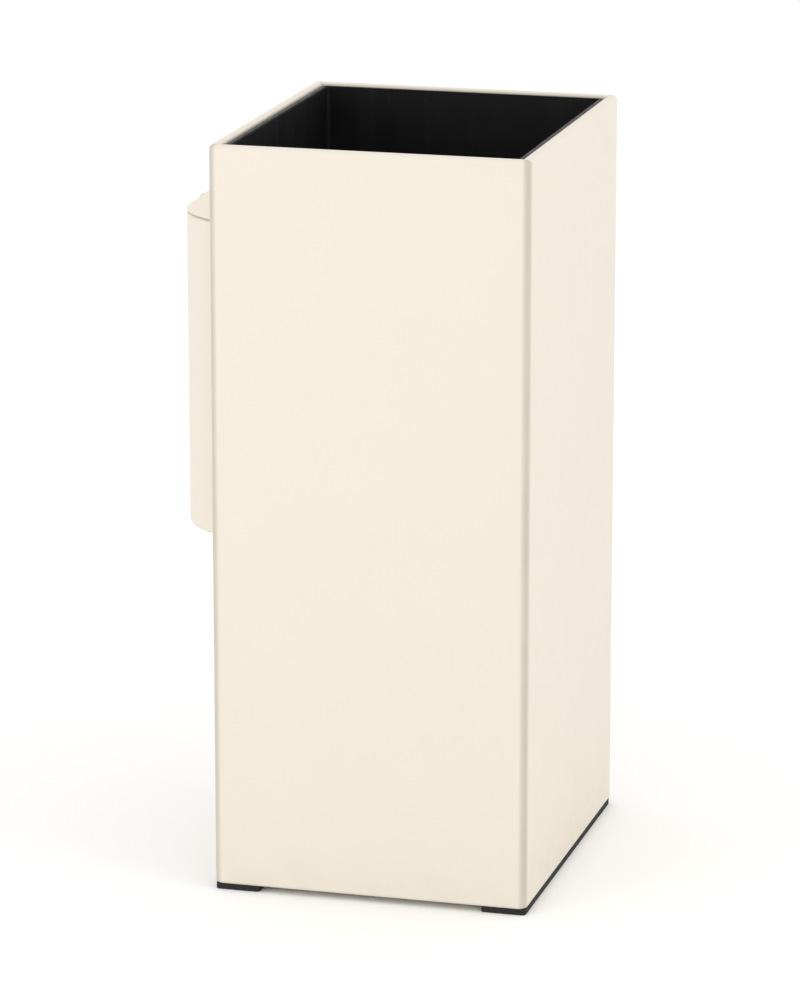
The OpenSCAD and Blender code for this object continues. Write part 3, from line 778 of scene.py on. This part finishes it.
LID_LIP = 0.5 * MM
LID_ANGLE = math.atan2(LID_HI.z - LID_LO.z - LID_LIP, LID_HI.x - LID_LO.x)
SLOPE_FRAME = (Matrix.Translation((LID_LO.x, 0, LID_LO.z + LID_LIP))
               @ Matrix.Rotation(-LID_ANGLE, 4, "Y"))
SLOPE_WAY = SLOPE_FRAME.to_3x3() @ Vector((0, 0, 1))
STUB_LO, STUB_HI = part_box("stub_plate")
STUB_MIDDLE = (SLOPE_FRAME.inverted() @ ((STUB_LO + STUB_HI) / 2)).x
STUB_SHEET = 1 * MM
STUB_HALF_UP = 19 * MM
STUB_HALF_ACROSS = 36 * MM
WINDOW_HALF_UP = 13 * MM
WINDOW_HALF_ACROSS = 28 * MM
STUB_RIVET_UP = 15 * MM
STUB_RIVET_ACROSS = 31 * MM
DROP_DOWN = 6 * MM
DROP_LINE = STUB_MIDDLE - DROP_DOWN
DROP_RADIUS = 6 * MM
DROP_PITCH = 18 * MM
PERFORATION_RADIUS = 1.25 * MM
SLOPE_DRILL = 4 * MM
STAIN_UP = 3 * MM
STAIN_CENTRE = SLOPE_FRAME @ Vector((DROP_LINE + STAIN_UP, 0, -ASH_SHEET))


def on_slope(up, across, out=0.0):
    """Place on the lid: up the slope, along its width, and out of it."""
    return SLOPE_FRAME @ Vector((up, across, out))


FINISHES = {
    "cream_powder_coat": cream_powder_coat(),
    "black_powder_coat": black_powder_coat(),
    "liner_black": liner_black(),
    "runner_rubber": moulded_rubber(),
    "seal_rubber": sponge_rubber(),
    "zinc_plate": zinc_plate(),
    "zinc_wire": zinc_wire(),
    "stainless": brushed_steel(),
    "galvanised_sheet": galvanised_sheet(),
}
STAINED_STEEL = brushed_steel("ash-stained stainless", stained=True)


# ---------- fasteners ----------

def threads(low, high):
    """Ridges of a thread between two heights, as (radius, height) points."""
    count = round((high - low) / M5_PITCH)
    ridge, root = (high - low) / count, M5_RADIUS - THREAD_DEPTH
    points = []
    for i in range(count):
        points += [(root, low + i * ridge), (M5_RADIUS, low + (i + 0.5) * ridge)]
    return points + [(root, high)]


def with_hex_socket(mesh, depth):
    """Item with a hexagon socket sunk into its lower end."""
    item = new_piece("socketed", mesh)
    lowest = min(v.co.z for v in mesh.vertices)
    combine(item, prism(regular(6, SOCKET_ACROSS), lowest - MM, lowest + depth), "DIFFERENCE")
    mesh = item.data
    bpy.data.objects.remove(item)
    return mesh


def countersunk_screw(length):
    """Head face at the bottom, point up."""
    head, taper = COUNTERSUNK_HEAD, 2.5 * MM
    outline = [(0, 0), (head - 0.2 * MM, 0), (head, 0.2 * MM), (M5_RADIUS, taper)]
    outline += threads(taper + MM, length - POINT)
    outline += [(M5_RADIUS - 2 * THREAD_DEPTH, length), (0, length)]
    return with_hex_socket(turned(outline), 1.6 * MM)


def button_bolt(length):
    """Domed head below, its seat at z = 0, thread up."""
    head, rise, flat = BUTTON_HEAD, 2.6 * MM, 2.6 * MM
    dome = [(flat + (head - flat) * math.sin(a), -rise * math.cos(a))
            for a in (math.pi / 2 * i / 6 for i in range(7))]
    outline = [(0, -rise)] + dome + [(M5_RADIUS, 0)] + threads(0.6 * MM, length - POINT)
    outline += [(M5_RADIUS - 2 * THREAD_DEPTH, length), (0, length)]
    return with_hex_socket(turned(outline), 1.5 * MM)


def washer():
    edge = 0.15 * MM
    return turned([(M5_HOLE, edge), (M5_HOLE + edge, 0), (WASHER_RADIUS - edge, 0),
                   (WASHER_RADIUS, edge), (WASHER_RADIUS, WASHER_T - edge),
                   (WASHER_RADIUS - edge, WASHER_T), (M5_HOLE + edge, WASHER_T),
                   (M5_HOLE, WASHER_T - edge)])


def hex_nut():
    """Hexagon with its corners turned off at both ends, and a chamfered bore."""
    corner = NUT_ACROSS / math.sqrt(3)
    flat = NUT_ACROSS / 2 * 0.96
    drop = (corner - flat) * math.tan(math.radians(30))
    bore, lead = M5_RADIUS + 0.05 * MM, 0.3 * MM
    nut = new_piece("nut", prism(regular(6, NUT_ACROSS), 0, NUT_HEIGHT))
    blank = [(bore + lead, 0), (flat, 0), (corner + 0.01 * MM, drop),
             (corner + 0.01 * MM, NUT_HEIGHT - drop), (flat, NUT_HEIGHT), (bore + lead, NUT_HEIGHT),
             (bore, NUT_HEIGHT - lead), (bore, lead)]
    combine(nut, turned(blank, 48), "INTERSECT")
    mesh = nut.data
    bpy.data.objects.remove(nut)
    return mesh


def blind_rivet(stack):
    """Domed head below with its mandrel hole, shank through a stack, upset head above."""
    pit, pit_deep = 0.75 * MM, 0.45 * MM
    dome = [(RIVET_HEAD * math.sin(a), -RIVET_DOME * math.cos(a))
            for a in (math.pi / 2 * i / 8 for i in range(3, 9))]
    outline = [(0, -RIVET_DOME + pit_deep), (pit, -RIVET_DOME + pit_deep), (pit, -RIVET_DOME)]
    outline += dome + [(RIVET_RADIUS, 0), (RIVET_RADIUS, stack)]
    outline += [(RIVET_HEAD * 0.82, stack), (RIVET_HEAD * 0.9, stack + 0.35 * RIVET_DOME),
                (RIVET_HEAD * 0.6, stack + 0.85 * RIVET_DOME), (0, stack + RIVET_DOME)]
    return turned(outline, 24)


# ---------- column ----------

def row_places(first, last, count):
    """Evenly spaced places from the first to the last."""
    return [first + (last - first) * i / (count - 1) for i in range(count)]


def runner_screw_places(height, way):
    """Six marks, three along each runner, from the screws' own box."""
    lo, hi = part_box("runner_screws")
    head = COUNTERSUNK_HEAD
    columns = (lo.x + head, hi.x - head)
    rows = row_places(lo.y + head, hi.y - head, 3)
    return [((x, y, height), way) for x in columns for y in rows]


def bracket_bolt_places(x, way):
    lo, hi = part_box("bracket_bolts")
    z = (lo.z + hi.z) / 2
    return [((x, y, z), way) for y in (lo.y + BUTTON_HEAD, hi.y - BUTTON_HEAD)]


def make_shell():
    """Outer sheet: bottom flange, wall, rim bend and the lip that returns inside."""
    half = BODY_SHEET / 2
    rim = HEM_LO.x - LINER_GAP - SHELL_LO.x
    low, high = SHELL_LO.z + half, SHELL_HI.z - half
    middle = [(BASE_FLANGE, low), (half, low), (half, high), (rim - half, high),
              (rim - half, SHELL_HI.z - RIM_LIP)]
    outline = folded_sheet(middle, BODY_SHEET, [BASE_BEND, RIM_BEND, 1.2 * MM])
    shell = swept_frame("folded_shell", outline, (SHELL_LO, SHELL_HI), CORNER_RADIUS)
    drill(shell, runner_screw_places(low, (0, 0, 1)), M5_HOLE)
    drill(shell, bracket_bolt_places(WALL_X + half, (1, 0, 0)), M5_HOLE)
    stand_in(shell, "outer_shell")


def make_base():
    eased_node("base_plate_pressing", "base_plate")
    for side in ("left", "right"):
        eased_node("moulded_runner_" + side, "runner_" + side, 0.6 * MM)
    up = (0, 0, 1)
    lo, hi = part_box("runner_screws")
    plate_top = PLATE_LO.z + 2 * MM
    fastened("countersunk_runner_screws", "runner_screws", countersunk_screw(hi.z - lo.z),
             runner_screw_places(lo.z, up), spin=math.pi / 3, seed=4)
    fastened("flat_runner_washers", "runner_washers", washer(), runner_screw_places(plate_top, up))
    fastened("hex_runner_nuts", "runner_nuts", hex_nut(),
             runner_screw_places(plate_top + WASHER_T, up), spin=math.pi / 3, seed=7)


def make_bracket():
    """Strip bent three times: down the wall, out, and up into the hook lip."""
    half = STRIP / 2
    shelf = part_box("pot_hanger")[0].z + half
    lip = BRACKET_LO.x + half
    middle = [(WALL_X - half, BRACKET_LO.z), (WALL_X - half, shelf), (lip, shelf),
              (lip, BRACKET_HI.z)]
    outline = folded_sheet(middle, STRIP, 1.1 * MM)
    mesh = prism([(p.x, p.y) for p in outline], BRACKET_LO.y, BRACKET_HI.y)
    mesh.transform(Matrix.Rotation(math.pi / 2, 4, "X"))
    bracket = new_piece("bent_bracket", clean(mesh))
    drill(bracket, bracket_bolt_places(WALL_X - half, (1, 0, 0)), M5_HOLE, 3 * MM)
    stand_in(bracket, "ash_bracket")
    inwards = (1, 0, 0)
    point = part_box("bracket_bolts")[1].x
    fastened("button_bracket_bolts", "bracket_bolts", button_bolt(point - WALL_X + STRIP),
             bracket_bolt_places(WALL_X - STRIP, inwards), spin=math.pi / 3, seed=2)
    fastened("flat_bracket_washers", "bracket_washers", washer(),
             bracket_bolt_places(WALL_X + BODY_SHEET, inwards))
    fastened("hex_bracket_nuts", "bracket_nuts", hex_nut(),
             bracket_bolt_places(WALL_X + BODY_SHEET + WASHER_T, inwards), spin=math.pi / 3, seed=9)


# ---------- liner ----------

def ear_rivet_places():
    """Four marks on each side wall, on its outer face, facing into the liner."""
    rivets_lo, rivets_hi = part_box("ear_rivets")
    rows = (rivets_lo.z + RIVET_HEAD, rivets_hi.z - RIVET_HEAD)
    outer = rivets_hi.y - RIVET_HEAD
    places = []
    for x, way in ((LINER_LO.x, 1), (LINER_HI.x, -1)):
        places += [((x, y, z), (way, 0, 0)) for y in (-outer, outer) for z in rows]
    return places


def make_liner():
    half = LINER_SHEET / 2
    wall = folded_sheet([(half, LINER_LO.z), (half, LINER_HI.z)], LINER_SHEET, [])
    walls = swept_frame("liner_folded_wall", wall, (LINER_LO, LINER_HI), LINER_CORNER)
    drill(walls, ear_rivet_places(), RIVET_RADIUS + DRILL_PLAY)
    stand_in(walls, "liner_wall")
    reach = LINER_LO.x + LINER_SHEET - HEM_LO.x
    hem = folded_sheet([(reach, HEM_HI.z - half), (half, HEM_HI.z - half), (half, HEM_LO.z)],
                       LINER_SHEET, HEM_BEND)
    stand_in(swept_frame("liner_turned_hem", hem, (HEM_LO, HEM_HI), LINER_CORNER), "liner_hem")
    eased_node("liner_floor_tray", "liner_floor", 0.45 * MM)
    eased_node("handle_ear_angles", "handle_ears")
    fastened("ear_blind_rivets", "ear_rivets", blind_rivet(LINER_SHEET + EAR_SHEET),
             ear_rivet_places())
    for side in ("left", "right"):
        make_handle(side)


def make_handle(side):
    """Bent wire loop: out to both pivots, down both arms and along the grip."""
    node = "handle_" + side
    lo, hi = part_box(node)
    wire = (hi.x - lo.x) / 2
    arm, bend = 38 * MM, 7 * MM
    x, top, grip = (lo.x + hi.x) / 2, hi.z - wire, lo.z + wire
    run = ((lo.y, top), (-arm, top), (-arm, grip), (arm, grip), (arm, top), (hi.y, top))
    line = [(x, y, z) for y, z in run]
    mesh = bpy.data.meshes.new("wire line")
    mesh.from_pydata(line, [(i, i + 1) for i in range(len(line) - 1)], [])
    handle = new_piece("wire_" + node, mesh)
    run_tree(handle, BENT_WIRE, Wire_radius=wire, Bend_radius=bend, Bend_steps=10, Sides=20)
    clean(handle.data)
    stand_in(ease_edges(handle, 0.5 * MM, 60), node)


# ---------- ashtray pot ----------

WALL_CLEARANCE = -0.5 * MM
POT_FLANGE = 6 * MM
POT_FOOT = 4.5 * MM
POT_FOOT_BEND = 3 * MM


def half_disc(radius, back, low, high):
    """Flat plate on a half circle that stops before the wall."""
    start = math.acos(back / radius)
    turns = [start + (2 * math.pi - 2 * start) * i / HALF_ROUND_STEPS
             for i in range(HALF_ROUND_STEPS + 1)]
    mesh = prism([(radius * math.cos(a), radius * math.sin(a)) for a in turns], low, high)
    mesh.transform(Matrix.Translation((WALL_X, 0, 0)))
    return mesh


def make_pot():
    half = ASH_SHEET / 2
    flange_back = BACK_LO.x - WALL_X - 0.3 * MM
    inside = ASH_SHEET * 1.05

    def back(inset):
        return WALL_CLEARANCE if inset <= inside else flange_back

    low, high = POT_LO.z + half, POT_HI.z - half
    middle = [(POT_FOOT, low), (half, low), (half, high), (POT_FLANGE, high)]
    outline = folded_sheet(middle, ASH_SHEET, [POT_FOOT_BEND, 1 * MM])
    stand_in(swept_half_round("rolled_pot_shell", outline, POT_RADIUS, back), "pot_shell")

    floor_lo, floor_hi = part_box("pot_floor")
    floor = half_disc(POT_RADIUS - POT_FOOT, flange_back + 0.3 * MM, floor_lo.z, floor_hi.z)
    stand_in(ease_edges(new_piece("pot_floor_plate", floor), 0.2 * MM), "pot_floor")

    eased_node("ashtray_back_plate", "back_plate")
    eased_node("hook_hanger", "pot_hanger")

    seal_lo, seal_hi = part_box("lid_seal")
    rim_gap = seal_lo.x - POT_LO.x
    inner = rim_gap + 4.1 * MM
    section = rounded([(rim_gap, seal_lo.z), (inner, seal_lo.z), (inner, seal_hi.z),
                       (rim_gap, seal_hi.z)], 0.35 * MM, steps=3)
    seal = swept_half_round("sponge_lid_seal", section, POT_RADIUS, lambda inset: flange_back)
    stand_in(seal, "lid_seal")

    bump_lo, bump_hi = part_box("wall_bumpers")
    reach, radius = bump_hi.x - bump_lo.x, 6 * MM
    outline = [(0, 0), (radius, 0), (radius, 0.6 * reach), (radius * 0.96, 0.8 * reach),
               (radius * 0.8, reach), (radius * 0.35, reach), (radius * 0.3, 0.8 * reach),
               (0, 0.8 * reach)]
    z = (bump_lo.z + bump_hi.z) / 2
    fastened("moulded_wall_bumpers", "wall_bumpers", turned(outline),
             [((bump_lo.x, y, z), (1, 0, 0)) for y in (bump_lo.y + radius, bump_hi.y - radius)])


def make_bucket():
    """Folded bucket with a safe edge turned outwards round its mouth."""
    sheet, hem_out, hem_high, recess = 0.8 * MM, 1 * MM, 5 * MM, 0.3 * MM
    half = sheet / 2
    radius = WALL_X - BUCKET_LO.x
    back_x = BUCKET_HI.x - WALL_X
    high = BUCKET_HI.z - half
    middle = [(hem_out + half, BUCKET_LO.z), (hem_out + half, high), (half, high),
              (half, BUCKET_HI.z - hem_high)]
    outline = folded_sheet(middle, sheet, 0.5 * MM)
    bucket = swept_half_round("galvanised_bucket", outline, radius, lambda inset: back_x - inset,
                              closed=True)
    low, wall = BUCKET_LO.z + recess, hem_out + half
    floor = half_disc(radius - wall, back_x - wall, low, low + sheet)
    combine(bucket, floor, "UNION")
    stand_in(bucket, "ash_bucket")
    eased_node("bucket_lift_strap", "bucket_strap")


# ---------- lid and hinge ----------

def slope_wedge(radius, lowered, back, low):
    """Closed solid below the lid's slope, on a half circle."""
    top = LID_HI.z + POT_RADIUS
    wedge = new_piece("wedge", half_disc(radius, back, low, top))
    far = 4 * POT_RADIUS
    above = prism([(-far, -far), (far, -far), (far, far), (-far, far)], -lowered, far)
    above.transform(SLOPE_FRAME)
    return combine(wedge, clean(above), "DIFFERENCE")


def make_lid():
    """Half-round wedge, hollow from below and behind, with a window and a hinge notch."""
    brow_round = 0.55 * MM
    lid = slope_wedge(POT_RADIUS, 0, WALL_CLEARANCE, LID_LO.z)
    lid.name = "sloping_lid"
    clean(lid.data)
    with worked(lid.data) as work:
        work.normal_update()
        brow = [edge for edge in work.edges if len(edge.link_faces) == 2
                and sum(face.normal.dot(SLOPE_WAY) > 0.999 for face in edge.link_faces) == 1
                and all(face.normal.x < 0.999 for face in edge.link_faces)]
        bmesh.ops.bevel(work, geom=brow, offset=brow_round, offset_type="OFFSET", segments=4,
                        profile=0.5, affect="EDGES", clamp_overlap=True)
    inner = slope_wedge(POT_RADIUS - ASH_SHEET, ASH_SHEET, 2 * MM, LID_LO.z - 5 * MM)
    combine(lid, inner.data, "DIFFERENCE")
    bpy.data.objects.remove(inner)

    hinge_lo, hinge_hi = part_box("hinge_leaf_lid")
    side_gap, front_gap = 3 * MM, 1.5 * MM
    notch_y = (hinge_hi.y - hinge_lo.y) / 2 + side_gap
    notch_x, past_wall = BACK_LO.x - front_gap, WALL_X + 5 * MM
    notch = prism([(notch_x, -notch_y), (past_wall, -notch_y), (past_wall, notch_y),
                   (notch_x, notch_y)], LID_LO.z + LID_LIP, LID_HI.z + POT_RADIUS)
    combine(lid, notch, "DIFFERENCE")
    window = stub_oblong(WINDOW_HALF_UP, WINDOW_HALF_ACROSS, 2 * MM, -5 * MM, 5 * MM)
    combine(lid, clean(window), "DIFFERENCE")
    drill(lid, stub_rivet_places(-ASH_SHEET / 2), RIVET_RADIUS + DRILL_PLAY, SLOPE_DRILL)
    clean(lid.data)
    stand_in(lid, "ash_lid", sharp=28)


def stub_oblong(half_up, half_across, radius, low, high):
    """Slab with rounded corners, centred on the stub plate, between two levels off the slope."""
    up, down = STUB_MIDDLE + half_up, STUB_MIDDLE - half_up
    corners = [(down, -half_across), (up, -half_across), (up, half_across), (down, half_across)]
    slab = prism(rounded(corners, radius, steps=5), low, high)
    slab.transform(SLOPE_FRAME)
    return slab


def stub_rivet_places(out, way=SLOPE_WAY):
    return [(on_slope(STUB_MIDDLE + s * STUB_RIVET_UP, y * STUB_RIVET_ACROSS, out), way)
            for s in (-1, 1) for y in (-1, 1)]


def make_stub_plate():
    """Stainless plate under the window: a field of perforations above three drop holes."""
    slab = stub_oblong(STUB_HALF_UP, STUB_HALF_ACROSS, 1.5 * MM,
                       -ASH_SHEET - STUB_SHEET, -ASH_SHEET)
    plate = new_piece("perforated_stub_plate", clean(slab))
    level = -ASH_SHEET - STUB_SHEET / 2
    rows, pitch, side_count = (2.5 * MM, 7 * MM, 11.5 * MM), 6 * MM, 4
    small = [(on_slope(STUB_MIDDLE + s, i * pitch, level), SLOPE_WAY)
             for s in rows for i in range(-side_count, side_count + 1)]
    drill(plate, small, PERFORATION_RADIUS, SLOPE_DRILL, 20)
    large = [(on_slope(DROP_LINE, i * DROP_PITCH, level), SLOPE_WAY) for i in (-1, 0, 1)]
    drill(plate, large, DROP_RADIUS, SLOPE_DRILL, 40)
    drill(plate, stub_rivet_places(level), RIVET_RADIUS + DRILL_PLAY, SLOPE_DRILL)
    stand_in(ease_edges(plate, 0.12 * MM), "stub_plate", STAINED_STEEL)
    fastened("stub_plate_blind_rivets", "stub_plate_rivets",
             blind_rivet(ASH_SHEET + STUB_SHEET), stub_rivet_places(0, -SLOPE_WAY))


def make_hinge():
    eased_node("hinge_leaf_on_plate", "hinge_leaf_fixed", 0.2 * MM)
    eased_node("hinge_leaf_on_lid", "hinge_leaf_lid", 0.2 * MM)
    lo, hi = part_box("hinge_pin")
    head, head_t, radius = 2.2 * MM, 0.8 * MM, 1.5 * MM
    length = hi.y - lo.y
    outline = [(0, 0), (head * 0.6, 0), (head * 0.9, 0.25 * head_t), (head, 0.6 * head_t),
               (head, head_t), (radius, head_t)]
    outline += [(r, length - z) for r, z in reversed(outline)]
    centre = ((lo.x + hi.x) / 2, lo.y, (lo.z + hi.z) / 2)
    fastened("headed_hinge_pin", "hinge_pin", turned(outline, 24), [(centre, (0, 1, 0))])

    rivets_lo, rivets_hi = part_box("back_plate_rivets")
    rows = ((rivets_lo.z + RIVET_HEAD, 24 * MM), (rivets_hi.z - RIVET_HEAD, 20 * MM))
    places = [((BACK_LO.x, s * y, z), (1, 0, 0)) for z, y in rows for s in (-1, 1)]
    fastened("back_plate_blind_rivets", "back_plate_rivets", blind_rivet(2 * STRIP), places)


# ---------- camera, light and floor ----------

def make_camera():
    """Long lens in front and a little to the right, looking down at the bin."""
    data = bpy.data.cameras.new("camera")
    data.sensor_width = 36
    data.lens = 181.2
    data.clip_end = 100
    camera = bpy.data.objects.new("camera", data)
    bpy.context.scene.collection.objects.link(camera)
    yaw, pitch = math.radians(15.17), math.radians(14.59)
    camera.location = (COLUMN_X + 1.008, -3.773, 1.307)
    camera.rotation_euler = (math.radians(90) - pitch, 0, yaw)
    bpy.context.scene.camera = camera


def softbox(name, place, size, power, colour=(1, 1, 1)):
    """Square area light aimed at the middle of the bin."""
    data = bpy.data.lights.new(name, "AREA")
    data.size = size
    data.energy = power
    data.color = colour
    lamp = bpy.data.objects.new(name, data)
    bpy.context.scene.collection.objects.link(lamp)
    lamp.location = place
    aim = Vector((COLUMN_X, 0, SHELL_HI.z / 2)) - Vector(place)
    lamp.rotation_euler = aim.to_track_quat("-Z", "Y").to_euler()


def make_studio():
    """Pale floor, white room and two soft lights."""
    size = 20
    corners = [(-size, -size, 0), (size, -size, 0), (size, size, 0), (-size, size, 0)]
    mesh = bpy.data.meshes.new("floor")
    mesh.from_pydata(corners, [], [(0, 1, 2, 3)])
    floor = new_piece("studio_floor", mesh)
    f = Finish("pale studio floor", IOR=1.45, Specular_IOR_Level=0.2)
    tone = f.blend(f.noise(3, 4), (0.93, 0.93, 0.93), (0.9, 0.9, 0.9), 0.1)
    f.bump(f.noise(160, 3), 0.1 * MM, 0.2)
    mesh.materials.append(f.done(tone, 0.85))
    world = bpy.data.worlds.new("white room")
    bpy.context.scene.world = world
    world.use_nodes = True
    background = world.node_tree.nodes["Background"]
    background.inputs["Color"].default_value = (1, 1, 1, 1)
    background.inputs["Strength"].default_value = 1.08
    softbox("front light", (COLUMN_X - 1.5, -2.3, 0.75), 1.0, 12, (1, 0.98, 0.94))
    softbox("right light", (COLUMN_X + 2.6, -0.9, 1.5), 1.6, 13.5, (1, 0.95, 0.78))
    bpy.context.scene.view_settings.view_transform = "Standard"


make_camera()
make_shell()
make_base()
make_bracket()
make_liner()
make_pot()
make_bucket()
make_lid()
make_stub_plate()
make_hinge()
make_studio()
